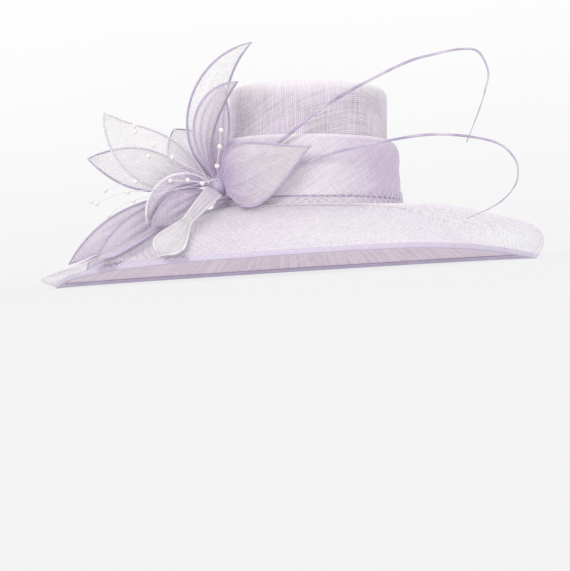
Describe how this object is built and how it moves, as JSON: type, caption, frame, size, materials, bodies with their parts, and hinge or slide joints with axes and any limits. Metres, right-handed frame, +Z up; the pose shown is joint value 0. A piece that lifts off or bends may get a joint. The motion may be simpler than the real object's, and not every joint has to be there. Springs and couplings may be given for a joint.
{
  "type": "wide-brimmed dress hat",
  "caption": "Wide-brimmed straw dress hat with an upright oval crown, draped band, petal flower with pearl stamens, arched quills and a net veil over the brim.",
  "frame": {"origin": "bottom centre of the whole hat, on the surface that its brim rests on", "axes": "+Z up, +X to the viewer's right as the hat is seen from its face side, +Y to the back"},
  "size_m": [0.5396, 0.5154, 0.2391],
  "materials": {
    "straw": "open-weave stiffened straw, lilac grey",
    "pale_straw": "open-weave stiffened straw, near-white lilac",
    "binding": "folded satin-faced bias strip, muted purple",
    "band": "bias-draped straw cloth, lilac to white",
    "net": "fine pale veiling net",
    "petal": "sheer straw cloth with rolled piped edges, lilac",
    "quill": "stripped, dyed feather quill, satin lilac grey",
    "pearl": "glossy ivory pearl",
    "wire": "fine pale coated wire"
  },
  "bodies": {
    "root": {"brim": "pale_straw", "brim_binding": "binding", "crown": "straw", "flower_knot": "petal", "hat_band": "band", "leaf_inner": "petal", "leaf_outer": "petal", "leaf_pleated": "petal", "net_veil": "net", "pearl_cup_1": "pearl", "pearl_cup_2": "pearl", "pearl_cup_3": "pearl", "pearl_high_1": "pearl", "pearl_high_2": "pearl", "pearl_high_3": "pearl", "pearl_left_1": "pearl", "pearl_left_2": "pearl", "pearl_long_1": "pearl", "pearl_long_2": "pearl", "pearl_long_3": "pearl", "pearl_low_1": "pearl", "pearl_low_2": "pearl", "pearl_short_1": "pearl", "pearl_short_2": "pearl", "pearl_up_1": "pearl", "pearl_up_2": "pearl", "pearl_up_3": "pearl", "petal_back": "petal", "petal_curled": "petal", "petal_inner": "petal", "petal_large_left": "petal", "petal_low_left": "petal", "petal_tall": "petal", "petal_tongue": "petal", "petal_upright": "petal", "petal_wide_right": "petal", "quill_lower": "quill", "quill_upper": "quill", "stamen_wire_cup": "wire", "stamen_wire_high": "wire", "stamen_wire_left": "wire", "stamen_wire_long": "wire", "stamen_wire_low": "wire", "stamen_wire_short": "wire", "stamen_wire_up": "wire"}
  },
  "joints": []
}
